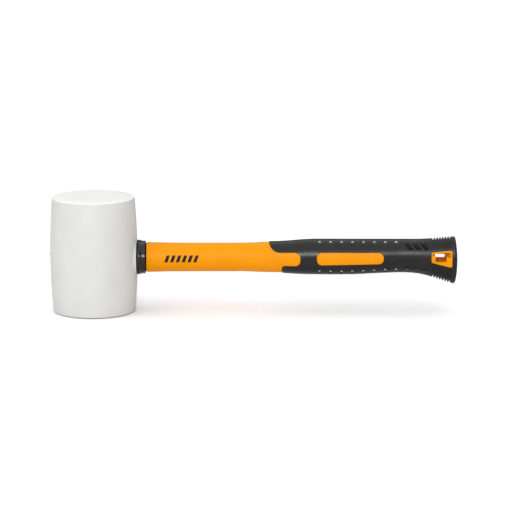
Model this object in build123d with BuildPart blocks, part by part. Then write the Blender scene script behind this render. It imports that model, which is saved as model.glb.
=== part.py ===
from build123d import *

import os

# Rubber mallet: a white moulded head on a handle with a fibreglass core, an orange jacket and a black grip.
#
# Millimetres. The origin is the centre of the lower striking face, +Z runs up the head's axis, and +X runs
# along the handle towards its pommel. The mallet is symmetric about the XZ plane.

# ---- Head ----
head_length = 95.0  # from one striking face to the other
head_rim_diameter = 67.0  # across each end
head_bulge_diameter = 71.0  # across the middle
face_flat_diameter = 46.0  # flat middle of each striking face
face_crown = 0.9  # how far the face falls from its flat to its rim
rim_radius = 1.0
vestige_diameter = 3.2  # moulding gate mark on the side away from the handle
vestige_height = 0.6
vestige_rise = 2.8  # of the gate mark above the handle's axis
eye_drop = 3.0  # how far the eye for the handle is below the head's middle

# ---- Joint between head and handle ----
tenon_shoulder = 1.7  # how far the shaft stands out past the tenon, against the collar's rear face
bond_thickness = 0.7  # epoxy all round the tenon and behind it
eye_past_axis = 20.0  # how far the blind eye runs past the head's axis
key_groove_count = 4
key_groove_width = 3.0
key_groove_depth = 0.6
key_groove_pitch = 9.0
collar_length = 7.5  # of the collar outside the head, above the handle
collar_step = 1.2  # how far the collar stands out past the shaft
collar_lip_step = 0.7  # how far its lip stands out past the rest of it
collar_lip_width = 2.0  # of the lip outside the head, above the handle
collar_taper = 1.4  # length over which the lip falls to the collar's radius
collar_corner = 0.9
collar_clearance = 0.1  # around the tenon
boss_margin = 0.6  # of the head's flat boss round the collar's lip
boss_setback = 0.7  # from the head's widest point to the boss's flat face

# ---- Handle ----
handle_reach = 293.5  # from the head's axis to the rim of the pommel's end
shaft_height = 24.4  # where the shaft meets the collar
shaft_width = 22.0
shaft_waist = 0.4  # how much slimmer each side is in the middle of the shaft
jacket_wall = 4.5  # on each side of the fibreglass core, where the shaft meets the collar
core_stop = 62.0  # from the fibreglass core's rear end to the pommel's rim

# ---- Grip: places named "to_rim" are distances along the handle to the rim of the pommel's end ----
grip_length = 151.0  # from its front tip to the pommel's rim
grip_width = 24.4  # at the palm swell
tail_width = 22.6  # at the pommel
palm_wall = 5.4  # rubber above and below the jacket's body, where the holes are
side_wall = 2.3  # rubber on each side of the jacket's body
tail_wall = 9.4  # rubber above the jacket's body, where the slots are
jacket_end_wall = 4.5  # rubber behind the jacket's tail
swoosh_length = 9.0  # from the grip's front tip to where its upper edge meets the tongue
swoosh_height = 14.0  # of that upper edge's start above the axis
chin_setback = 10.7  # from the grip's front tip to its front edge below the tongue
chin_corner = 2.2
tongue_length = 25.5  # from the grip's front tip to the end of the shaft's tongue in it
tongue_half_height = 5.7
tongue_corner = 4.6
tongue_gap = 13.1  # rubber between the tongue and the inlay
inlay_to_rim = 57.9
inlay_front_top, inlay_front_bottom = 5.7, -4.9  # from the handle's axis
inlay_rear_top, inlay_rear_bottom = 5.5, -3.9
inlay_corner = 4.4
inlay_rise = 0.25  # how far the orange lands stand above the rubber
front_step = 0.5  # how far the rubber stands above the shaft at the grip's front
land_edge = 0.9  # rounding of the edges of the tongue, the inlay and the hang hole's frame
pommel_swell = 1.7  # how far the pommel's end swells out past its rim
pommel_dome_radius = 140.0
pommel_edge = 1.6
hole_diameter = 3.3
hole_count = 8
hole_inset = 2.9  # from the grip's upper and lower edges to the holes' centres
hole_setback = 2.6  # from the inlay's front to the first hole
last_hole_to_rim = 47.7
slot_count = 3
upper_slot_inset, lower_slot_inset = 4.9, 4.1
upper_slot_pitch, lower_slot_pitch = 6.3, 7.0
upper_slot_to_rim, lower_slot_to_rim = 37.6, 38.1
slot_web_width = 7.0  # rubber left inside the slots, across the handle
slot_web_inset = 3.4  # from the grip's upper and lower edges to that web
upper_slot_length, upper_slot_width, upper_slot_angle = 7.6, 2.9, -50
lower_slot_length, lower_slot_width, lower_slot_angle = 5.4, 3.1, -60
rib_groove_count = 7
rib_groove_width = 1.2
rib_depth = 1.3
rib_pitch = 2.24
rib_side_gap = 1.5  # between the ribs and the hang hole's frame
first_rib_to_rim = 17.6

# ---- Hang hole ----
hang_hole_length = 9.0
hang_hole_height = 5.5
hang_hole_to_rim = 11.7
hang_hole_rise = 0.6  # of its middle above the handle's axis
hang_dish_depth = 7.0  # how deep the dished mouth is on each side
hang_frame_width = 1.0  # flat rim around the dish
hang_frame_corner = 1.6
frame_front_to_rim, frame_rear_to_rim = 19.5, 2.3
frame_front_top, frame_front_bottom = 5.7, -2.7  # from the handle's axis
frame_rear_top, frame_rear_bottom = 7.2, -7.3
hang_hole_corner = 0.6

# ---- Places that follow from the sizes above ----
handle_z = head_length / 2 - eye_drop
tail_x = handle_reach
bulge_radius = head_bulge_diameter / 2
collar_x = bulge_radius + collar_length
collar_radius = shaft_height / 2 + collar_step
tenon_height = shaft_height - 2 * tenon_shoulder
tenon_width = shaft_width - 2 * tenon_shoulder
core_diameter = min(shaft_height, shaft_width) - 2 * jacket_wall
grip_scale = shaft_height / 24.4  # the grip's heights are drawn for a shaft 24.4 high
rim_x = head_rim_diameter / 2
flat_x = face_flat_diameter / 2
tenon_end_x = -(eye_past_axis - bond_thickness)
grip_front_x = tail_x - grip_length
shaft_length = grip_front_x - collar_x
waist_height = shaft_height - 2 * shaft_waist
waist_width = shaft_width - 2 * shaft_waist
side_reach = grip_width  # half-length of every cut made from side to side
clear_height = 25.0  # from the axis, above and below every part of the handle
section_spacing = 9.0  # about how far apart the loft sections are


def from_tail(distance):
    """X of a point on the handle, from its distance to the rim of the pommel's end."""
    return tail_x - distance


def above_axis(height):
    """Z of a point on the handle, from its height above the handle's axis."""
    return handle_z + height


# Outside of the bare shaft: x, top and bottom from the handle's axis, width.
shaft_stations = [
    (collar_x, shaft_height / 2, -shaft_height / 2, shaft_width),
    (collar_x + 0.25 * shaft_length, waist_height / 2, -waist_height / 2, waist_width),
    (collar_x + 0.80 * shaft_length, waist_height / 2, -waist_height / 2, waist_width),
]

# Outside of the rubber grip: x, top, bottom, width.
rubber_stations = [
    (grip_front_x - 2.0, 13.0 * grip_scale, -12.9 * grip_scale, grip_width - 1.4),
    (grip_front_x + 12.0, 13.4 * grip_scale, -13.2 * grip_scale, grip_width - 0.8),
    (grip_front_x + 24.0, 14.4 * grip_scale, -13.9 * grip_scale, grip_width - 0.2),
    (grip_front_x + 34.0, 15.0 * grip_scale, -14.2 * grip_scale, grip_width),
    (from_tail(84.0), 15.0 * grip_scale, -14.2 * grip_scale, grip_width),
    (from_tail(60.0), 15.0 * grip_scale, -13.1 * grip_scale, (grip_width + tail_width) / 2),
    (from_tail(44.0), 15.0 * grip_scale, -12.6 * grip_scale, tail_width),
    (from_tail(33.0), 15.0 * grip_scale, -13.1 * grip_scale, tail_width),
    (from_tail(22.0), 15.3 * grip_scale, -15.2 * grip_scale, tail_width),
    (from_tail(11.0), 16.4 * grip_scale, -18.9 * grip_scale, tail_width),
    (tail_x, 17.2 * grip_scale, -22.2 * grip_scale, tail_width),
    (tail_x + pommel_swell, 17.3 * grip_scale, -22.7 * grip_scale, tail_width),
]
step_end = 2  # the station from which the jacket's lands stand above the rubber


def set_in(station, inset):
    """A station moved inwards by inset all round."""
    x, top, bottom, width = station
    return (x, top - inset, bottom + inset, width - 2 * inset)


# Outside of the jacket, where it shows.
jacket_stations = (
    shaft_stations
    + [set_in(station, front_step) for station in rubber_stations[:step_end]]
    + [set_in(station, -inlay_rise) for station in rubber_stations[step_end:]]
)

# The jacket's body under the rubber: x, top, bottom, width. It is slim at the tail, beside the slots.
palm_top = (15.0 - palm_wall) * grip_scale
palm_bottom = -(14.2 - palm_wall) * grip_scale
tail_half_height = (15.0 - tail_wall) * grip_scale
body_width = grip_width - 2 * side_wall
core_stations = [
    (grip_front_x - 2.0, palm_top, -palm_top, body_width + 0.8),
    (grip_front_x + 34.0, palm_top, palm_bottom, body_width),
    (from_tail(84.0), palm_top, palm_bottom, body_width),
    (from_tail(60.0), palm_top, -(13.1 - palm_wall) * grip_scale, body_width - 0.8),
    (from_tail(50.0), palm_top, -(12.7 - palm_wall) * grip_scale, body_width - 1.2),
    (from_tail(41.0), tail_half_height, -tail_half_height, body_width - 1.6),
    (from_tail(24.0), tail_half_height, -tail_half_height, body_width - 2.0),
    (from_tail(jacket_end_wall), tail_half_height, -tail_half_height, body_width - 2.4),
]


def smooth_row(stations, x):
    """The stations' values at x, on cubic curves through all of them."""
    following = max(1, min(len(stations) - 1, sum(station[0] <= x for station in stations)))
    start, end = stations[following - 1], stations[following]
    before, after = stations[max(following - 2, 0)], stations[min(following + 1, len(stations) - 1)]
    step = end[0] - start[0]
    t = (x - start[0]) / step
    row = []
    for a, b, c, d in zip(before[1:], start[1:], end[1:], after[1:]):
        start_rise = step * (c - a) / (end[0] - before[0])
        end_rise = step * (d - b) / (after[0] - start[0])
        rise = start_rise * t * (1 - t) ** 2 - end_rise * t**2 * (1 - t)
        row.append(b * (1 + 2 * t) * (1 - t) ** 2 + c * t**2 * (3 - 2 * t) + rise)
    return row


def ovals(stations, grow=0.0):
    """Evenly spaced ellipses along the stations, moved out by grow all round."""
    first_x, last_x = stations[0][0], stations[-1][0]
    count = round((last_x - first_x) / section_spacing)
    sketches = []
    for index in range(count + 1):
        x = first_x + (last_x - first_x) * index / count
        top, bottom, width = smooth_row(stations, x)
        with BuildSketch(Plane.YZ.offset(x)) as oval:
            with Locations((0, above_axis((top + bottom) / 2))):
                Ellipse(width / 2 + grow, (top - bottom) / 2 + grow)
        sketches.append(oval.sketch)
    return sketches


# ---- Rubber head, with a low boss that the collar seats against ----
with BuildPart() as head_blank:
    with BuildSketch(Plane.XZ):
        with BuildLine():
            Line((0, 0), (flat_x, 0))
            TangentArc((flat_x, 0), (rim_x, face_crown), tangent=(1, 0))
            ThreePointArc(
                (rim_x, face_crown),
                (bulge_radius, head_length / 2),
                (rim_x, head_length - face_crown),
            )
            TangentArc((flat_x, head_length), (rim_x, head_length - face_crown), tangent=(1, 0))
            Line((flat_x, head_length), (0, head_length))
            Line((0, head_length), (0, 0))
        make_face()
    revolve(axis=Axis.Z)
    with BuildSketch(Plane.YZ):
        with Locations((0, handle_z)):
            Circle(collar_radius + collar_lip_step + boss_margin)
    extrude(amount=bulge_radius - boss_setback)

with BuildPart() as eye:
    with BuildSketch(Plane.YZ.offset(-eye_past_axis)):
        with Locations((0, handle_z)):
            SlotOverall(tenon_height + 2 * bond_thickness, tenon_width + 2 * bond_thickness, rotation=90)
    extrude(amount=eye_past_axis + head_bulge_diameter)

with BuildPart() as tenon:
    with BuildSketch(Plane.YZ.offset(tenon_end_x)):
        with Locations((0, handle_z)):
            SlotOverall(tenon_height, tenon_width, rotation=90)
    extrude(amount=collar_x - tenon_end_x)
    for groove in range(key_groove_count):
        with BuildSketch(Plane.YZ.offset(tenon_end_x + key_groove_pitch * (groove + 0.5))):
            with Locations((0, handle_z)):
                SlotOverall(tenon_height + 2, tenon_width + 2, rotation=90)
                SlotOverall(
                    tenon_height - 2 * key_groove_depth,
                    tenon_width - 2 * key_groove_depth,
                    rotation=90,
                    mode=Mode.SUBTRACT,
                )
        extrude(amount=key_groove_width, mode=Mode.SUBTRACT)

with BuildPart() as rubber_head:
    add(head_blank.part)
    with BuildSketch(Plane.YZ.offset(-bulge_radius - vestige_height)):
        with Locations((0, above_axis(vestige_rise))):
            Circle(vestige_diameter / 2)
    extrude(amount=bulge_radius)
    add(eye.part, mode=Mode.SUBTRACT)
    rims = rubber_head.edges().filter_by(GeomType.CIRCLE).filter_by(lambda e: abs(e.radius - rim_x) < 0.01)
    fillet(rims, rim_radius)
    vestige_edge = rubber_head.edges().sort_by(Axis.X)[0]
    fillet(vestige_edge, vestige_height / 2)

# ---- Epoxy bond between the eye and the tenon ----
with BuildPart() as head_bond:
    add(eye.part)
    add(tenon.part, mode=Mode.SUBTRACT)
    add(head_blank.part, mode=Mode.INTERSECT)

# ---- Collar ----
with BuildPart() as collar:
    with BuildSketch(Plane.XZ):
        lip_end_x = bulge_radius + collar_lip_width
        with BuildLine():
            Polyline(
                (0, handle_z),
                (0, above_axis(collar_radius + collar_lip_step)),
                (lip_end_x, above_axis(collar_radius + collar_lip_step)),
                (lip_end_x + collar_taper, above_axis(collar_radius)),
                (collar_x, above_axis(collar_radius)),
                (collar_x, handle_z),
                close=True,
            )
        make_face()
    revolve(axis=Axis((0, 0, handle_z), (1, 0, 0)))
    rear_edge = collar.edges().group_by(Axis.X)[-1]
    fillet(rear_edge, collar_corner)
    with BuildSketch(Plane.YZ):
        with Locations((0, handle_z)):
            SlotOverall(tenon_height + 2 * collar_clearance, tenon_width + 2 * collar_clearance, rotation=90)
    extrude(amount=collar_x, mode=Mode.SUBTRACT)
    add(head_blank.part, mode=Mode.SUBTRACT)

# ---- Fibreglass core ----
with BuildPart() as core_rod:
    with BuildSketch(Plane.YZ.offset(tenon_end_x)):
        with Locations((0, handle_z)):
            Circle(core_diameter / 2)
    extrude(amount=from_tail(core_stop) - tenon_end_x)

# ---- Regions where the jacket shows, drawn from the side ----
tongue_x = grip_front_x + tongue_length
swoosh_x = grip_front_x + swoosh_length
chin_x = grip_front_x + chin_setback
with BuildPart() as shaft_region:
    with BuildSketch(Plane.XZ) as shaft_outline:
        with BuildLine():
            Polyline(
                (swoosh_x, above_axis(tongue_half_height)),
                (tongue_x, above_axis(tongue_half_height)),
                (tongue_x, above_axis(-tongue_half_height)),
                (chin_x, above_axis(-tongue_half_height)),
                (chin_x, above_axis(-tongue_half_height - 5)),
                (chin_x + 2, above_axis(-tongue_half_height - 9)),
                (chin_x + 2, above_axis(-clear_height)),
                (collar_x, above_axis(-clear_height)),
                (collar_x, above_axis(clear_height)),
                (grip_front_x, above_axis(clear_height)),
                (grip_front_x, above_axis(swoosh_height)),
            )
            TangentArc(
                (swoosh_x, above_axis(tongue_half_height)),
                (grip_front_x, above_axis(swoosh_height)),
                tangent=(-1, 0),
            )
        make_face()
        corners = shaft_outline.vertices()
        fillet(corners.filter_by_position(Axis.X, tongue_x - 0.1, tongue_x + 0.1), tongue_corner)
        corners = shaft_outline.vertices()
        chin = corners.filter_by_position(Axis.X, chin_x - 0.1, chin_x + 0.1)
        fillet(chin.sort_by(Axis.Z)[-1], chin_corner)
    extrude(amount=side_reach, both=True)

inlay_front_x, inlay_rear_x = tongue_x + tongue_gap, from_tail(inlay_to_rim)
with BuildPart() as inlay_region:
    with BuildSketch(Plane.XZ) as inlay_outline:
        with BuildLine():
            Polyline(
                (inlay_front_x, above_axis(inlay_front_top)),
                (inlay_rear_x, above_axis(inlay_rear_top)),
                (inlay_rear_x, above_axis(inlay_rear_bottom)),
                (inlay_front_x, above_axis(inlay_front_bottom)),
                close=True,
            )
        make_face()
        fillet(inlay_outline.vertices(), inlay_corner)
    extrude(amount=side_reach, both=True)


def rounded_outline(corners, radius):
    """A rounded outline seen from the side, from its corners' places on the handle."""
    with BuildSketch(Plane.XZ) as outline:
        with BuildLine():
            Polyline(*[(x, above_axis(height)) for x, height in corners], close=True)
        make_face()
        fillet(outline.vertices(), radius)
    return outline.sketch.faces()[0]


frame_front_x, frame_rear_x = from_tail(frame_front_to_rim), from_tail(frame_rear_to_rim)
frame_face = rounded_outline(
    [
        (frame_front_x, frame_front_top),
        (frame_rear_x, frame_rear_top),
        (frame_rear_x, frame_rear_bottom),
        (frame_front_x, frame_front_bottom),
    ],
    hang_frame_corner,
)
with BuildPart() as frame_region:
    extrude(frame_face, amount=side_reach, both=True)

# ---- Hang hole, with a dished mouth on each side ----
hang_x = from_tail(hang_hole_to_rim)
hang_front_x, hang_rear_x = hang_x - hang_hole_length / 2, hang_x + hang_hole_length / 2
hang_top, hang_bottom = hang_hole_rise + hang_hole_height / 2, hang_hole_rise - hang_hole_height / 2
throat_face = rounded_outline(
    [
        (hang_front_x, hang_top),
        (hang_rear_x, hang_top),
        (hang_rear_x, hang_bottom),
        (hang_front_x, hang_bottom),
    ],
    hang_hole_corner,
)
mouth_face = rounded_outline(
    [
        (frame_front_x + hang_frame_width, frame_front_top - hang_frame_width),
        (frame_rear_x - hang_frame_width, frame_rear_top - hang_frame_width),
        (frame_rear_x - hang_frame_width, frame_rear_bottom + hang_frame_width),
        (frame_front_x + hang_frame_width, frame_front_bottom + hang_frame_width),
    ],
    hang_frame_corner - hang_frame_width / 2,
)
with BuildPart() as hang_cut:
    extrude(throat_face, amount=side_reach, both=True)
    for side in (1, -1):
        mouth_y, throat_y = side * tail_width / 2, side * (tail_width / 2 - hang_dish_depth)
        loft([mouth_face.moved(Pos(0, mouth_y, 0)), throat_face.moved(Pos(0, throat_y, 0))])

# ---- Orange jacket ----
with BuildPart() as jacket_skin:
    loft(ovals(jacket_stations))

with BuildPart() as jacket_core:
    loft(ovals(core_stations))


def rim_edges(land):
    """The edges of a land on the two sides of the handle."""
    return land.edges().filter_by(lambda edge: edge.bounding_box().size.Y < grip_width / 2)


def along_tongue(edge):
    """Whether an edge of the shaft's land runs along its tongue."""
    box = edge.bounding_box()
    clear_of_front = box.min.X > min(swoosh_x, chin_x) - 0.1
    below_top = box.max.Z < above_axis(tongue_half_height + 0.1)
    above_bottom = box.min.Z > above_axis(-tongue_half_height - 0.1)
    return clear_of_front and below_top and above_bottom


with BuildPart() as shaft_land:
    add(jacket_skin.part)
    add(shaft_region.part, mode=Mode.INTERSECT)
    fillet(rim_edges(shaft_land.part).filter_by(along_tongue), land_edge)

with BuildPart() as inlay_land:
    add(jacket_skin.part)
    add(inlay_region.part, mode=Mode.INTERSECT)
    fillet(rim_edges(inlay_land.part), land_edge)

with BuildPart() as frame_land:
    add(jacket_skin.part)
    add(frame_region.part, mode=Mode.INTERSECT)
    fillet(rim_edges(frame_land.part), land_edge)

with BuildPart() as handle_jacket:
    add(jacket_core.part)
    add(tenon.part)
    add(shaft_land.part)
    add(inlay_land.part)
    add(frame_land.part)
    add(core_rod.part, mode=Mode.SUBTRACT)
    add(hang_cut.part, mode=Mode.SUBTRACT)

# ---- Black rubber grip ----
with BuildPart() as pommel_dome:
    with BuildSketch(Plane.XZ):
        dome_middle = (rubber_stations[-1][1] + rubber_stations[-1][2]) / 2
        with Locations((tail_x + pommel_swell - pommel_dome_radius, above_axis(dome_middle))):
            Circle(pommel_dome_radius)
    extrude(amount=side_reach, both=True)

with BuildPart() as grip_skin:
    loft(ovals(rubber_stations))
    add(pommel_dome.part, mode=Mode.INTERSECT)
    pommel_rim = grip_skin.edges().filter_by(lambda edge: edge.center().X > tail_x - pommel_swell)
    fillet(pommel_rim, pommel_edge)

with BuildPart() as rib_floor:
    loft(ovals(rubber_stations, grow=-rib_depth))

first_rib_x = from_tail(first_rib_to_rim)
frame_slope = (frame_rear_bottom - frame_front_bottom) / (frame_rear_x - frame_front_x)
with BuildPart() as rib_grooves:
    for rib in range(rib_groove_count):
        rib_x = first_rib_x + rib * rib_pitch
        upper_limit = frame_rear_top + rib_side_gap
        lower_limit = frame_front_bottom + frame_slope * (rib_x - frame_front_x) - rib_side_gap
        with BuildSketch(Plane.XZ):
            with Locations((rib_x, above_axis(upper_limit))):
                Rectangle(rib_groove_width, 25, align=(Align.CENTER, Align.MIN))
            with Locations((rib_x, above_axis(lower_limit))):
                Rectangle(rib_groove_width, 25, align=(Align.CENTER, Align.MAX))
        extrude(amount=side_reach, both=True)
    add(rib_floor.part, mode=Mode.SUBTRACT)

first_hole_x, last_hole_x = inlay_front_x + hole_setback, from_tail(last_hole_to_rim)
with BuildPart() as side_holes:
    with BuildSketch(Plane.XZ):
        for hole in range(hole_count):
            along = hole / (hole_count - 1)
            hole_x = first_hole_x + along * (last_hole_x - first_hole_x)
            top, bottom = smooth_row(rubber_stations, hole_x)[:2]
            with Locations((hole_x, above_axis(top - hole_inset)), (hole_x, above_axis(bottom + hole_inset))):
                Circle(hole_diameter / 2)
    extrude(amount=side_reach, both=True)

# Each slot is open from side to side only along the grip's edge: a web of rubber closes the rest of it.
with BuildPart() as side_slots:
    for slot in range(slot_count):
        upper_x = from_tail(upper_slot_to_rim) + slot * upper_slot_pitch
        lower_x = from_tail(lower_slot_to_rim) + slot * lower_slot_pitch
        top = above_axis(smooth_row(rubber_stations, upper_x)[0])
        bottom = above_axis(smooth_row(rubber_stations, lower_x)[1])
        with BuildSketch(Plane.XZ):
            with Locations((upper_x, top - upper_slot_inset)):
                SlotOverall(upper_slot_length, upper_slot_width, rotation=upper_slot_angle)
            with Locations((lower_x, bottom + lower_slot_inset)):
                SlotOverall(lower_slot_length, lower_slot_width, rotation=lower_slot_angle)
        extrude(amount=side_reach, both=True)
        with BuildSketch(Plane.XZ):
            with Locations((upper_x, top - slot_web_inset)):
                Rectangle(upper_slot_length, upper_slot_length, align=(Align.CENTER, Align.MAX))
            with Locations((lower_x, bottom + slot_web_inset)):
                Rectangle(lower_slot_length, lower_slot_length, align=(Align.CENTER, Align.MIN))
        extrude(amount=slot_web_width / 2, both=True, mode=Mode.SUBTRACT)

with BuildPart() as grip_sleeve:
    add(grip_skin.part)
    add(shaft_region.part, mode=Mode.SUBTRACT)
    add(inlay_region.part, mode=Mode.SUBTRACT)
    add(frame_region.part, mode=Mode.SUBTRACT)
    add(jacket_core.part, mode=Mode.SUBTRACT)
    add(side_holes.part, mode=Mode.SUBTRACT)
    add(side_slots.part, mode=Mode.SUBTRACT)
    add(rib_grooves.part, mode=Mode.SUBTRACT)

# ---- Export: one file for each piece ----
pieces = {
    "rubber_head": rubber_head,
    "head_bond": head_bond,
    "collar": collar,
    "core_rod": core_rod,
    "handle_jacket": handle_jacket,
    "grip_sleeve": grip_sleeve,
}
os.makedirs("parts", exist_ok=True)
for name, piece in pieces.items():
    piece.part.label = name
    export_step(piece.part, f"parts/{name}.step")
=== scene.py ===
import math

import bmesh
import bpy
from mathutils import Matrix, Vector, noise
from mathutils.bvhtree import BVHTree


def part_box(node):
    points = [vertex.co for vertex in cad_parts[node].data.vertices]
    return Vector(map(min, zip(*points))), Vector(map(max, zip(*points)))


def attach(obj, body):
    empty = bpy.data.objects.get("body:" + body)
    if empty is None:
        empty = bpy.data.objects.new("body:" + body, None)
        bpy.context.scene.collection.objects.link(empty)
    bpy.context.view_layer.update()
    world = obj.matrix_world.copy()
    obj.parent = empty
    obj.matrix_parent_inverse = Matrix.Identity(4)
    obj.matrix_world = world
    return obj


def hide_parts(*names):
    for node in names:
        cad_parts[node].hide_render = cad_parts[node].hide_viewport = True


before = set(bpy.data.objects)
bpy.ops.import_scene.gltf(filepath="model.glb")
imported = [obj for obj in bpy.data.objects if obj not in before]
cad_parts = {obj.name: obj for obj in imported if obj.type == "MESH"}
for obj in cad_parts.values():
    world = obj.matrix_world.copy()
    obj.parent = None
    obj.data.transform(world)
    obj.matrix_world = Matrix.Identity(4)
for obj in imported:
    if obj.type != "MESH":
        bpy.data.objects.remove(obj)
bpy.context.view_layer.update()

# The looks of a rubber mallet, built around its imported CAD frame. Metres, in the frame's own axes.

MM = 0.001

# ---- Places read from the frame ----
head_low, head_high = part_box("rubber_head")
bond_low, bond_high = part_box("head_bond")
collar_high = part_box("collar")[1]
HEAD_LENGTH = head_high.z - head_low.z
HANDLE_Z = (bond_low.z + bond_high.z) / 2


# ---- Mesh helpers ----
def make_piece(name, points, faces, material):
    """A smooth-shaded mesh piece that rides on the mallet's one body."""
    mesh = bpy.data.meshes.new(name)
    mesh.from_pydata(points, [], faces)
    mesh.validate()
    for polygon in mesh.polygons:
        polygon.use_smooth = True
    mesh.materials.append(material)
    piece = bpy.data.objects.new(name, mesh)
    bpy.context.scene.collection.objects.link(piece)
    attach(piece, "root")
    return piece


def ring_faces(rows, count, closed=False):
    """Quads between neighbouring rows of count points, each row a closed ring.

    closed joins the last row to the first.
    """
    faces = []
    for row in range(rows if closed else rows - 1):
        this, following = row * count, (row + 1) % rows * count
        for k in range(count):
            after = (k + 1) % count
            faces.append((this + k, following + k, following + after, this + after))
    return faces


def tube_faces(rows, count):
    """The sides and the two end faces of a closed tube, from rows of count points."""
    first_end = tuple(range(count))
    last_end = tuple(reversed(range((rows - 1) * count, rows * count)))
    return ring_faces(rows, count) + [first_end, last_end]


def round_corner(before, corner, after, radius, steps):
    """Points along the arc that rounds a corner between two straight runs."""
    back = (Vector(before) - Vector(corner)).normalized()
    onward = (Vector(after) - Vector(corner)).normalized()
    half_turn = (math.pi - back.angle(onward)) / 2
    start = Vector(corner) + back * radius * math.tan(half_turn)
    centre = Vector(corner) + (back + onward).normalized() * radius / math.cos(half_turn)
    spoke = start - centre
    side = onward - spoke.normalized() * onward.dot(spoke.normalized())
    side = side.normalized() * radius
    return [
        centre + spoke * math.cos(2 * half_turn * k / steps) + side * math.sin(2 * half_turn * k / steps)
        for k in range(steps + 1)
    ]


# ---- Material helpers ----
def new_material(name):
    """An empty node material and its Principled shader."""
    material = bpy.data.materials.new(name)
    material.use_nodes = True
    return material, material.node_tree.nodes["Principled BSDF"]


def link(material, output, socket):
    """Carries one node's output to another's socket."""
    material.node_tree.links.new(output, socket)


def add_node(material, kind, inputs=None, **settings):
    """A node with its sockets set from inputs: a value, or another node's output to link."""
    node = material.node_tree.nodes.new(kind)
    for key, value in settings.items():
        setattr(node, key, value)
    for key, value in (inputs or {}).items():
        if isinstance(value, bpy.types.NodeSocket):
            link(material, value, node.inputs[key])
        else:
            node.inputs[key].default_value = value
    return node


def position(material):
    """The surface point in the row's frame, in metres."""
    return add_node(material, "ShaderNodeTexCoord").outputs["Object"]


def noise_of(material, per_metre, detail, roughness=0.5):
    """Noise from 0 to 1 with about that many features to the metre."""
    inputs = {"Vector": position(material), "Scale": per_metre, "Detail": detail, "Roughness": roughness}
    return add_node(material, "ShaderNodeTexNoise", inputs).outputs["Fac"]


def grains(material, per_metre):
    """Distance to the nearest of scattered points, about that many to the metre: a pebbled surface."""
    inputs = {"Vector": position(material), "Scale": per_metre}
    return add_node(material, "ShaderNodeTexVoronoi", inputs).outputs["Distance"]


def mapped(material, value, low, high, to_low, to_high):
    """value carried from low..high to to_low..to_high, and held there outside."""
    inputs = {"Value": value, "From Min": low, "From Max": high, "To Min": to_low, "To Max": to_high}
    return add_node(material, "ShaderNodeMapRange", inputs).outputs["Result"]


def varied(material, per_metre, detail, spread, low, high):
    """Noise carried to low..high, and held there where it is more than spread from its middle, 0.5."""
    noisy = noise_of(material, per_metre, detail)
    return mapped(material, noisy, 0.5 - spread, 0.5 + spread, low, high)


def maths(material, operation, first, second=0.0):
    """One sum on numbers or on nodes' outputs."""
    return add_node(material, "ShaderNodeMath", {0: first, 1: second}, operation=operation).outputs[0]


def mixed_colour(material, factor, first, second):
    """The colour first where factor is 0 and second where it is 1."""
    node = add_node(material, "ShaderNodeMix", {"Factor": factor}, data_type="RGBA")
    for name, colour in (("A", first), ("B", second)):
        socket = [s for s in node.inputs if s.name == name and s.type == "RGBA"][0]
        if isinstance(colour, bpy.types.NodeSocket):
            link(material, colour, socket)
        else:
            socket.default_value = (*colour, 1.0)
    return [s for s in node.outputs if s.type == "RGBA"][0]


def bumped(material, height, depth, under=None):
    """A normal bent by height from 0 to 1, which stands for depth metres, over another bump's normal."""
    inputs = {"Height": height, "Distance": depth, "Strength": 1.0}
    if under is not None:
        inputs["Normal"] = under
    return add_node(material, "ShaderNodeBump", inputs).outputs["Normal"]


def axis_of(material, axis):
    """One coordinate of the surface point, in metres."""
    return add_node(material, "ShaderNodeSeparateXYZ", {"Vector": position(material)}).outputs[axis]


def stretched_noise(material, per_metre, detail):
    """Noise with a number of features to the metre of its own along each axis."""
    inputs = {0: position(material), 1: per_metre}
    stretched = add_node(material, "ShaderNodeVectorMath", inputs, operation="MULTIPLY").outputs[0]
    inputs = {"Vector": stretched, "Scale": 1.0, "Detail": detail}
    return add_node(material, "ShaderNodeTexNoise", inputs).outputs["Fac"]


def seam(material):
    """1 along the mould's parting line, in the mallet's plane of symmetry, and 0 beside it."""
    from_plane = maths(material, "ABSOLUTE", axis_of(material, "Y"))
    return mapped(material, from_plane, 0.05 * MM, 0.25 * MM, 1, 0)


def scratches(material):
    """1 in sparse fine scratches that run mostly along the handle, and 0 elsewhere."""
    lines = stretched_noise(material, (45, 700, 700), 1.0)
    from_half = maths(material, "ABSOLUTE", maths(material, "SUBTRACT", lines, 0.5))
    thin = mapped(material, from_half, 0.002, 0.008, 1, 0)
    patches = mapped(material, noise_of(material, 60, 2), 0.52, 0.62, 0, 1)
    return maths(material, "MULTIPLY", thin, patches)


def roughened(material, rough, worn, added):
    """A roughness with more added where the surface is worn."""
    return maths(material, "ADD", rough, maths(material, "MULTIPLY", worn, added))


def finished(material, shader, colour, roughness, normal):
    """The material, with its colour, roughness and bump linked to its shader."""
    link(material, colour, shader.inputs["Base Color"])
    link(material, roughness, shader.inputs["Roughness"])
    link(material, normal, shader.inputs["Normal"])
    return material


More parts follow.
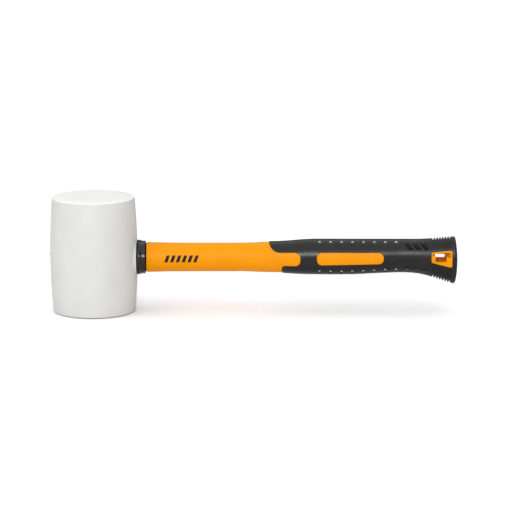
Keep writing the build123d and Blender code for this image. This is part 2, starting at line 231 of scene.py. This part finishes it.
# ---- Materials ----
def white_rubber():
    """Matte white rubber: faint mottling, fine grain, painted light that makes both striking faces paler than
    the side, and scuffs near the striking faces.
    """
    material, shader = new_material("white_rubber")
    mottle = varied(material, 55, 3, 0.15, 0, 1)
    colour = mixed_colour(material, mottle, (0.49, 0.489, 0.472), (0.512, 0.511, 0.494))
    half_length = HEAD_LENGTH / 2
    above_middle = maths(material, "SUBTRACT", axis_of(material, "Z"), half_length)
    from_middle = maths(material, "ABSOLUTE", above_middle)
    # Painted light: both striking faces are painted paler than the side, standing for the stronger light that
    # falls on the top face.
    painted_light_on_face = mapped(material, from_middle, half_length - 1.5 * MM, half_length - 1.1 * MM, 0, 1)
    colour = mixed_colour(material, painted_light_on_face, colour, (0.655, 0.651, 0.634))
    near_face = mapped(material, from_middle, half_length - 4 * MM, half_length, 0, 1)
    speckle = mapped(material, noise_of(material, 700, 4, 0.65), 0.6, 0.72, 0, 0.35)
    scuffed = maths(material, "MULTIPLY", near_face, speckle)
    colour = mixed_colour(material, scuffed, colour, (0.45, 0.446, 0.425))
    rough = varied(material, 240, 3, 0.2, 0.5, 0.64)
    shader.inputs["Specular IOR Level"].default_value = 0.35
    grain = bumped(material, noise_of(material, 1500, 3), 0.05 * MM)
    grain = bumped(material, grains(material, 1900), 0.02 * MM, grain)
    grain = bumped(material, seam(material), 0.05 * MM, grain)
    return finished(material, shader, colour, rough, grain)


def orange_plastic():
    """Satin orange plastic: faint flow marks, fine scratches, moulded grain and the mould's parting line."""
    material, shader = new_material("orange_plastic")
    flow = varied(material, 70, 2, 0.15, 0, 1)
    colour = mixed_colour(material, flow, (0.63, 0.216, 0.0), (0.655, 0.228, 0.001))
    worn = scratches(material)
    rubbed = maths(material, "MULTIPLY", worn, 0.35)
    colour = mixed_colour(material, rubbed, colour, (0.75, 0.36, 0.08))
    rough = roughened(material, varied(material, 320, 3, 0.2, 0.36, 0.46), worn, 0.15)
    shader.inputs["Specular IOR Level"].default_value = 0.07
    peel = bumped(material, noise_of(material, 420, 1), 0.02 * MM)
    peel = bumped(material, noise_of(material, 2600, 2), 0.008 * MM, peel)
    peel = bumped(material, seam(material), 0.06 * MM, peel)
    return finished(material, shader, colour, rough, peel)


def black_rubber():
    """Satin black grip rubber: a leather-like grain, a little dust in it, and the mould's parting line."""
    material, shader = new_material("black_grip_rubber")
    tone = varied(material, 140, 3, 0.15, 0, 1)
    colour = mixed_colour(material, tone, (0.004, 0.004, 0.004), (0.007, 0.007, 0.007))
    patches = mapped(material, noise_of(material, 75, 3), 0.55, 0.7, 0, 0.5)
    specks = mapped(material, noise_of(material, 1300, 3), 0.5, 0.65, 0, 1)
    dust = maths(material, "MULTIPLY", patches, specks)
    colour = mixed_colour(material, dust, colour, (0.03, 0.028, 0.026))
    rough = varied(material, 520, 3, 0.2, 0.27, 0.35)
    shader.inputs["Specular IOR Level"].default_value = 0.24
    leather = bumped(material, grains(material, 900), 0.02 * MM)
    leather = bumped(material, noise_of(material, 2600, 2), 0.005 * MM, leather)
    leather = bumped(material, seam(material), 0.07 * MM, leather)
    return finished(material, shader, colour, rough, leather)


def black_plastic():
    """Satin black collar plastic with faint moulding marks and scratches."""
    material, shader = new_material("black_collar_plastic")
    tone = varied(material, 150, 3, 0.15, 0, 1)
    colour = mixed_colour(material, tone, (0.004, 0.004, 0.004), (0.006, 0.006, 0.006))
    worn = scratches(material)
    scuffed = maths(material, "MULTIPLY", worn, 0.4)
    colour = mixed_colour(material, scuffed, colour, (0.04, 0.04, 0.04))
    rough = roughened(material, varied(material, 420, 2, 0.2, 0.2, 0.28), worn, 0.2)
    shader.inputs["Specular IOR Level"].default_value = 0.3
    grain = bumped(material, noise_of(material, 1600, 2), 0.005 * MM)
    return finished(material, shader, colour, rough, grain)


def fibreglass():
    """Pultruded glass fibre: pale straw resin with streaks along the rod."""
    material, shader = new_material("fibreglass_rod")
    streaks = mapped(material, stretched_noise(material, (40, 2600, 2600), 2.0), 0.35, 0.65, 0, 1)
    colour = mixed_colour(material, streaks, (0.5, 0.46, 0.28), (0.68, 0.64, 0.46))
    rough = mapped(material, streaks, 0, 1, 0.35, 0.55)
    return finished(material, shader, colour, rough, bumped(material, streaks, 0.03 * MM))


def epoxy():
    """Cured epoxy: amber resin with small trapped bubbles."""
    material, shader = new_material("cured_epoxy")
    bubbles = mapped(material, grains(material, 900), 0.1, 0.3, 0, 1)
    colour = mixed_colour(material, bubbles, (0.62, 0.5, 0.28), (0.5, 0.36, 0.16))
    rough = varied(material, 300, 2, 0.2, 0.15, 0.3)
    return finished(material, shader, colour, rough, bumped(material, bubbles, 0.05 * MM))


def print_ink():
    """Pad-printed black ink, slightly uneven."""
    material, shader = new_material("print_ink")
    tone = mapped(material, noise_of(material, 900, 3), 0.35, 0.7, 0, 1)
    colour = mixed_colour(material, tone, (0.008, 0.007, 0.006), (0.014, 0.012, 0.01))
    rough = varied(material, 700, 2, 0.2, 0.42, 0.55)
    shader.inputs["Specular IOR Level"].default_value = 0.12
    grain = bumped(material, noise_of(material, 2600, 2), 0.008 * MM)
    return finished(material, shader, colour, rough, grain)


# ---- Rubber head ----
RIM_RADIUS = 33.5 * MM
BULGE_RADIUS = 35.5 * MM
FACE_FLAT_RADIUS = 23 * MM
FACE_CROWN = 0.9 * MM
RIM_ROUND = 1.0 * MM
RIM_STEPS = 8
FACE_CELLS = 124  # squares along each side of a face's grid, so 4 times as many points round the barrel
BARREL_ROWS = 104
PEBBLE_DEPTH = 0.12 * MM
PEBBLES_PER_METRE = 560
PEBBLE_FADE = 1.5 * MM  # width over which the pebbles die out at a face's edge
UPPER_SEED, LOWER_SEED = 3.1, 7.7  # of each face's pebbles
EYE_POINTS = 48
EYE_OVERRUN = 10 * MM  # of the eye's cut past the barrel
BOSS_RADIUS = 14.7 * MM
BOSS_FACE_X = 34.8 * MM
BOSS_EDGE = 0.15 * MM
BOSS_ROOT_X = 28 * MM  # its other end, inside the barrel
BOSS_POINTS = 160
VESTIGE_RADIUS = 1.6 * MM
VESTIGE_HEIGHT = 0.6 * MM
VESTIGE_RISE = 2.8 * MM  # above the handle's axis
VESTIGE_TOP = 0.8  # its top's radius, as a share of its own
VESTIGE_ROOT = 2 * MM  # how far it reaches into the barrel
VESTIGE_POINTS, VESTIGE_ROWS = 28, 5


def barrel_radius(height):
    """The head's radius at a height above its lower face: one arc through rim, middle and rim."""
    half_chord = HEAD_LENGTH / 2 - FACE_CROWN
    sagitta = BULGE_RADIUS - RIM_RADIUS
    arc = (half_chord**2 + sagitta**2) / (2 * sagitta)
    return BULGE_RADIUS - arc + math.sqrt(arc**2 - (height - HEAD_LENGTH / 2) ** 2)


def face_fall(radius):
    """How far a striking face falls from its flat, at that radius."""
    run = RIM_RADIUS - FACE_FLAT_RADIUS
    arc = (run**2 + FACE_CROWN**2) / (2 * FACE_CROWN)
    return arc - math.sqrt(arc**2 - max(0.0, radius - FACE_FLAT_RADIUS) ** 2)


def pebble(x, y, seed):
    """Depth of the face's pebbled texture, from 0 to 1."""
    point = Vector((x * PEBBLES_PER_METRE, y * PEBBLES_PER_METRE, seed))
    cell = noise.voronoi(point)[0][0]
    grain = noise.noise(point * 0.45)
    return min(1.0, max(0.0, 0.75 * cell + 0.35 * grain))


def disc_point(a, b):
    """A square's point, each side from -1 to 1, carried onto the unit disc."""
    if a == 0 and b == 0:
        return 0.0, 0.0
    if abs(a) > abs(b):
        radius, angle = a, math.pi / 4 * b / a
    else:
        radius, angle = b, math.pi / 2 - math.pi / 4 * a / b
    return radius * math.cos(angle), radius * math.sin(angle)


def face_grid(edge_radius, edge_fall):
    """One face's grid of (x, y, fall) points, row by row, from a square carried onto the disc."""
    points = []
    for j in range(FACE_CELLS + 1):
        for i in range(FACE_CELLS + 1):
            x, y = disc_point(2 * i / FACE_CELLS - 1, 2 * j / FACE_CELLS - 1)
            x, y = x * edge_radius, y * edge_radius
            radius = math.hypot(x, y)
            fall = face_fall(radius) * edge_fall / face_fall(edge_radius)
            points.append((x, y, fall))
    return points


def face_border():
    """The grid indices of a face's border, anticlockwise from its square's lower right corner."""
    n = FACE_CELLS
    right = [n + j * (n + 1) for j in range(n)]
    top = [n - i + n * (n + 1) for i in range(n)]
    left = [(n - j) * (n + 1) for j in range(n)]
    bottom = list(range(n))
    return right + top + left + bottom


def rim_rounding():
    """Points (radius, height above the face's flat) of a rim's rounding, from the face to the side."""
    run = RIM_RADIUS - FACE_FLAT_RADIUS
    face_slope = math.asin(run * 2 * FACE_CROWN / (run**2 + FACE_CROWN**2))
    corner = (RIM_RADIUS, -FACE_CROWN)
    inward = (corner[0] - math.cos(face_slope), corner[1] + math.sin(face_slope))
    side_slope = barrel_radius(FACE_CROWN + MM) - RIM_RADIUS
    downward = (corner[0] + side_slope, corner[1] - MM)
    return round_corner(inward, corner, downward, RIM_ROUND, RIM_STEPS)


def build_head(material):
    """The barrel: a pebbled grid for each face, and rows of points round its side between them."""
    rounding = rim_rounding()
    edge_radius, edge_fall = rounding[0].x, -rounding[0].y
    grid = face_grid(edge_radius, edge_fall)
    border = face_border()
    count = len(border)

    def face_point(x, y, fall, top):
        """A face's point in the row's frame, pebbled all but its outermost edge."""
        radius = math.hypot(x, y)
        fade = min(1.0, (edge_radius - radius) / PEBBLE_FADE)
        sunk = fall + PEBBLE_DEPTH * fade * pebble(x, y, UPPER_SEED if top else LOWER_SEED)
        return (x, y, HEAD_LENGTH - sunk if top else sunk)

    points = [face_point(x, y, fall, True) for x, y, fall in grid]
    lower_start = len(points)
    points += [face_point(x, y, fall, False) for x, y, fall in grid]
    n = FACE_CELLS
    faces = []
    for j in range(n):
        for i in range(n):
            a = j * (n + 1) + i
            faces.append((a, a + 1, a + n + 2, a + n + 1))
            faces.append(tuple(lower_start + k for k in (a, a + n + 1, a + n + 2, a + 1)))

    angles = [math.atan2(grid[k][1], grid[k][0]) for k in border]
    low_z, high_z = -rounding[-1].y, HEAD_LENGTH + rounding[-1].y
    profile = [(p.x, HEAD_LENGTH + p.y) for p in rounding[1:]]
    for row in range(1, BARREL_ROWS):
        z = high_z + (low_z - high_z) * row / BARREL_ROWS
        profile.append((barrel_radius(z), z))
    profile += [(p.x, -p.y) for p in reversed(rounding[1:])]
    rows_start = len(points)
    for radius, z in profile:
        points += [(radius * math.cos(angle), radius * math.sin(angle), z) for angle in angles]
    rows = [border] + [[rows_start + r * count + k for k in range(count)] for r in range(len(profile))]
    rows.append([lower_start + k for k in border])
    for upper, lower in zip(rows, rows[1:]):
        for k in range(count):
            after = (k + 1) % count
            faces.append((upper[k], lower[k], lower[after], upper[after]))
    head = make_piece("rubber_barrel", points, faces, material)
    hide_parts("rubber_head")
    return head


def turned(profile, height, count):
    """A closed solid's points and faces: a profile of (x, radius) turned about the level line at a height."""
    points = []
    for x, radius in profile:
        for k in range(count):
            angle = 2 * math.pi * k / count
            points.append((x, radius * math.cos(angle), height + radius * math.sin(angle)))
    return points, tube_faces(len(profile), count)


def gate_mark():
    """A small domed disc standing on the barrel's side away from the handle, closed inside the barrel."""
    profile = [(-BULGE_RADIUS + VESTIGE_ROOT, VESTIGE_RADIUS)]
    for step in range(VESTIGE_ROWS):
        turn = math.pi / 2 * step / (VESTIGE_ROWS - 1)
        out = VESTIGE_HEIGHT * (0.5 + 0.5 * math.sin(turn))
        share = VESTIGE_TOP + (1 - VESTIGE_TOP) * math.cos(turn)
        profile.append((-BULGE_RADIUS - out, VESTIGE_RADIUS * share))
    return turned(profile, HANDLE_Z + VESTIGE_RISE, VESTIGE_POINTS)


def boss_disc():
    """The low round boss that the collar seats against, from inside the barrel out to its flat face."""
    profile = [
        (BOSS_ROOT_X, BOSS_RADIUS),
        (BOSS_FACE_X - BOSS_EDGE, BOSS_RADIUS),
        (BOSS_FACE_X, BOSS_RADIUS - BOSS_EDGE),
    ]
    return turned(profile, HANDLE_Z, BOSS_POINTS)


def oblong(half_width, half_height, count):
    """Points round an upright oblong with half-round ends, as (y, z) from its middle."""
    straight = half_height - half_width
    points = []
    for k in range(count):
        angle = 2 * math.pi * (k + 0.5) / count
        y, z = half_width * math.cos(angle), half_width * math.sin(angle)
        points.append((y, z + math.copysign(straight, z)))
    return points


def tool_mesh(name, points, faces):
    """A closed mesh for cutting, linked so that it can be evaluated."""
    mesh = bpy.data.meshes.new(name)
    mesh.from_pydata(points, [], faces)
    cleaned = bmesh.new()
    cleaned.from_mesh(mesh)
    bmesh.ops.recalc_face_normals(cleaned, faces=cleaned.faces)
    cleaned.to_mesh(mesh)
    cleaned.free()
    tool = bpy.data.objects.new(name, mesh)
    bpy.context.scene.collection.objects.link(tool)
    return tool


def cut(piece, tool, operation):
    """Applies one boolean to a piece's mesh and removes the tool."""
    bpy.context.view_layer.update()
    modifier = piece.modifiers.new("cut", "BOOLEAN")
    modifier.operation = operation
    modifier.solver = "EXACT"
    modifier.object = tool
    evaluated = piece.evaluated_get(bpy.context.evaluated_depsgraph_get())
    mesh = bpy.data.meshes.new_from_object(evaluated)
    piece.modifiers.clear()
    piece.data = mesh
    bpy.data.objects.remove(tool)


def eye_tool():
    """The blind oblong eye, as far as the bond reaches, run out past the barrel."""
    outline = oblong(bond_high.y, bond_high.z - HANDLE_Z, EYE_POINTS)
    points = []
    for x in (bond_low.x, head_high.x + EYE_OVERRUN):
        points += [(x, y, HANDLE_Z + z) for y, z in outline]
    return tool_mesh("eye_tool", points, tube_faces(2, EYE_POINTS))


# ---- Collar ----
COLLAR_RADIUS = 13.4 * MM
COLLAR_LIP = 14.1 * MM
COLLAR_LIP_END = BULGE_RADIUS + 2 * MM
COLLAR_TAPER = 1.4 * MM
COLLAR_CORNER = 0.9 * MM
LIP_ROUND = 0.6 * MM
LIP_STEPS, CORNER_STEPS = 4, 7
SADDLE_EDGE = 0.35 * MM  # rounding of the lip where it meets the head
BODY_STEP = 0.35 * MM  # from each rounding of the body to its next row of points
COLLAR_POINTS = 192
BORE_HALF_WIDTH, BORE_HALF_HEIGHT = 9.4 * MM, 10.6 * MM  # round the tenon, with its clearance


def collar_outside():
    """Points (x, radius) of the collar's outside, from the head to its rear face."""
    rear = collar_high.x
    lip_end = (COLLAR_LIP_END, COLLAR_LIP)
    taper_end = (COLLAR_LIP_END + COLLAR_TAPER, COLLAR_RADIUS)
    rear_corner = (rear, COLLAR_RADIUS)
    points = round_corner((0, COLLAR_LIP), lip_end, taper_end, LIP_ROUND, LIP_STEPS)
    points += round_corner(lip_end, taper_end, rear_corner, LIP_ROUND, LIP_STEPS)
    points.append((points[-1][0] + BODY_STEP, COLLAR_RADIUS))
    points.append((rear - COLLAR_CORNER - BODY_STEP, COLLAR_RADIUS))
    points += round_corner((0, COLLAR_RADIUS), rear_corner, (rear, 0), COLLAR_CORNER, CORNER_STEPS)
    return points


def saddle_x(y, z):
    """X of the head's surface under the collar: the boss, or the barrel where it stands out further."""
    return max(BOSS_FACE_X, math.sqrt(barrel_radius(HANDLE_Z + z) ** 2 - y**2))


def build_collar(material):
    """The black ring between head and shaft, from its saddle on the head to its rear face."""
    bore = oblong(BORE_HALF_WIDTH, BORE_HALF_HEIGHT, COLLAR_POINTS)
    angles = [math.atan2(z, y) for y, z in bore]
    points = [(saddle_x(y, z), y, HANDLE_Z + z) for y, z in bore]
    for inset, off in ((SADDLE_EDGE, 0.0), (0.3 * SADDLE_EDGE, 0.3 * SADDLE_EDGE), (0.0, SADDLE_EDGE)):
        radius = COLLAR_LIP - inset
        ring = [(radius * math.cos(angle), radius * math.sin(angle)) for angle in angles]
        points += [(saddle_x(y, z) + off, y, HANDLE_Z + z) for y, z in ring]
    for x, radius in collar_outside():
        points += [(x, radius * math.cos(angle), HANDLE_Z + radius * math.sin(angle)) for angle in angles]
    points += [(collar_high.x, y, HANDLE_Z + z) for y, z in bore]
    rows = len(points) // COLLAR_POINTS
    faces = ring_faces(rows, COLLAR_POINTS, closed=True)
    collar = make_piece("collar_ring", points, faces, material)
    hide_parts("collar")


# ---- Print on the shaft ----
BAR_COUNT = 6
BAR_START, BAR_PITCH, BAR_WIDTH = 57.5 * MM, 4.7 * MM, 2.6 * MM
BAR_LOW, BAR_HIGH = -2.4 * MM, 3.3 * MM  # from the handle's axis
BAR_SLANT = 0.35  # how far each bar leans towards the grip as it rises
BAR_COLUMNS, BAR_ROWS = 6, 12
INK_DEPTH = 0.03 * MM
INK_ROOT = 0.12 * MM  # how far the ink's hidden side is inside the jacket
BESIDE_Y = -0.05  # beside the shaft, where the rays that find its surface start


def build_print(material):
    """A row of plain slanted bars, a film of ink that follows the jacket's near side."""
    bpy.context.view_layer.update()
    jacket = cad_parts["handle_jacket"]
    corners = [jacket.matrix_world @ vertex.co for vertex in jacket.data.vertices]
    tree = BVHTree.FromPolygons(corners, [tuple(polygon.vertices) for polygon in jacket.data.polygons])
    across, up = BAR_COLUMNS, BAR_ROWS
    points, faces = [], []
    for bar in range(BAR_COUNT):
        for depth in (-INK_DEPTH, INK_ROOT):
            for j in range(up + 1):
                rise = BAR_LOW + (BAR_HIGH - BAR_LOW) * j / up
                for i in range(across + 1):
                    x = BAR_START + bar * BAR_PITCH + BAR_WIDTH * i / across + BAR_SLANT * (rise - BAR_LOW)
                    hit = tree.ray_cast(Vector((x, BESIDE_Y, HANDLE_Z + rise)), Vector((0, 1, 0)))[0]
                    points.append((x, hit.y + depth, HANDLE_Z + rise))
        wide = across + 1
        layer = wide * (up + 1)
        near, far = 2 * layer * bar, 2 * layer * bar + layer
        for j in range(up):
            for i in range(across):
                a = j * wide + i
                faces.append(tuple(near + k for k in (a, a + 1, a + wide + 1, a + wide)))
                faces.append(tuple(far + k for k in (a, a + wide, a + wide + 1, a + 1)))
        edge = list(range(across)) + [j * wide + across for j in range(up)]
        edge += [up * wide + i for i in range(across, 0, -1)] + [j * wide for j in range(up, 0, -1)]
        for a, b in zip(edge, edge[1:] + edge[:1]):
            faces.append((near + a, far + a, far + b, near + b))
    make_piece("shaft_print", points, faces, material)


# ---- Make everything ----
rubber = white_rubber()
head = build_head(rubber)
cut(head, tool_mesh("gate_mark", *gate_mark()), "UNION")
cut(head, tool_mesh("boss", *boss_disc()), "UNION")
cut(head, eye_tool(), "DIFFERENCE")
for polygon in head.data.polygons:
    polygon.use_smooth = True
build_collar(black_plastic())
build_print(print_ink())

for name, material in (
    ("handle_jacket", orange_plastic()),
    ("grip_sleeve", black_rubber()),
    ("core_rod", fibreglass()),
    ("head_bond", epoxy()),
):
    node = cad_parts[name]
    node.data.materials.clear()
    node.data.materials.append(material)


# ---- Stage, light and camera ----
FLOOR_SIZE = 30
FLOOR_ALBEDO = 0.83
WORLD_STRENGTH = 0.27
LIT_POINT = Vector((0.13, 0, HANDLE_Z))  # the mallet's middle, which the soft boxes face
LOOK_POINT = Vector((131.9 * MM, 0, HANDLE_Z + 0.8 * MM))  # what the camera faces
CAMERA_DISTANCE = 2.0
CAMERA_PITCH = 11.3  # degrees above the handle
CAMERA_LENS = 172.7


def studio_floor():
    """A plain pale floor that runs out past every view."""
    bpy.ops.mesh.primitive_plane_add(size=FLOOR_SIZE)
    floor = bpy.context.object
    floor.name = "studio_floor"
    material, shader = new_material("studio_floor")
    shader.inputs["Base Color"].default_value = (FLOOR_ALBEDO, FLOOR_ALBEDO, FLOOR_ALBEDO, 1)
    shader.inputs["Roughness"].default_value = 0.9
    floor.data.materials.append(material)


def studio_world():
    """An even white surround."""
    world = bpy.data.worlds.new("studio")
    bpy.context.scene.world = world
    world.use_nodes = True
    background = world.node_tree.nodes["Background"]
    background.inputs["Color"].default_value = (1, 1, 1, 1)
    background.inputs["Strength"].default_value = WORLD_STRENGTH


def towards(azimuth, elevation):
    """The direction that is degrees round the mallet from its front and degrees above the floor."""
    turn, lift = math.radians(azimuth), math.radians(elevation)
    return Vector((math.sin(turn) * math.cos(lift), -math.cos(turn) * math.cos(lift), math.sin(lift)))


def place_facing(name, data, location, back):
    """An object with its -Z axis turned away from the direction back."""
    thing = bpy.data.objects.new(name, data)
    thing.location = location
    thing.rotation_euler = (-back).to_track_quat("-Z", "Y").to_euler()
    bpy.context.scene.collection.objects.link(thing)
    return thing


def area_light(name, azimuth, elevation, distance, size, watts):
    """A soft box that faces the mallet's middle, from degrees round it and above it."""
    back = towards(azimuth, elevation)
    data = bpy.data.lights.new(name, "AREA")
    data.shape = "RECTANGLE"
    data.size, data.size_y = size
    data.energy = watts
    place_facing(name, data, LIT_POINT + back * distance, back)


def sky_light(name, azimuth, elevation, spread, strength):
    """A wide, even light from degrees round the mallet and above it, as broad as spread degrees."""
    data = bpy.data.lights.new(name, "SUN")
    data.angle = math.radians(spread)
    data.energy = strength
    place_facing(name, data, (0, 0, 0), towards(azimuth, elevation))


def front_camera():
    """A long lens a little above the mallet, square to its handle."""
    data = bpy.data.cameras.new("camera")
    data.sensor_width = 36
    data.lens = CAMERA_LENS
    data.clip_start = 0.05
    back = towards(0, CAMERA_PITCH)
    bpy.context.scene.camera = place_facing("camera", data, LOOK_POINT + back * CAMERA_DISTANCE, back)


studio_floor()
studio_world()
sky_light("overhead", -30, 84, 110, 3.0)
area_light("front_box", 0, 18, 3.2, (0.6, 0.5), 50)
area_light("left_box", -62, 22, 3.2, (1.5, 1.5), 15)
front_camera()
bpy.context.scene.view_settings.view_transform = "Standard"
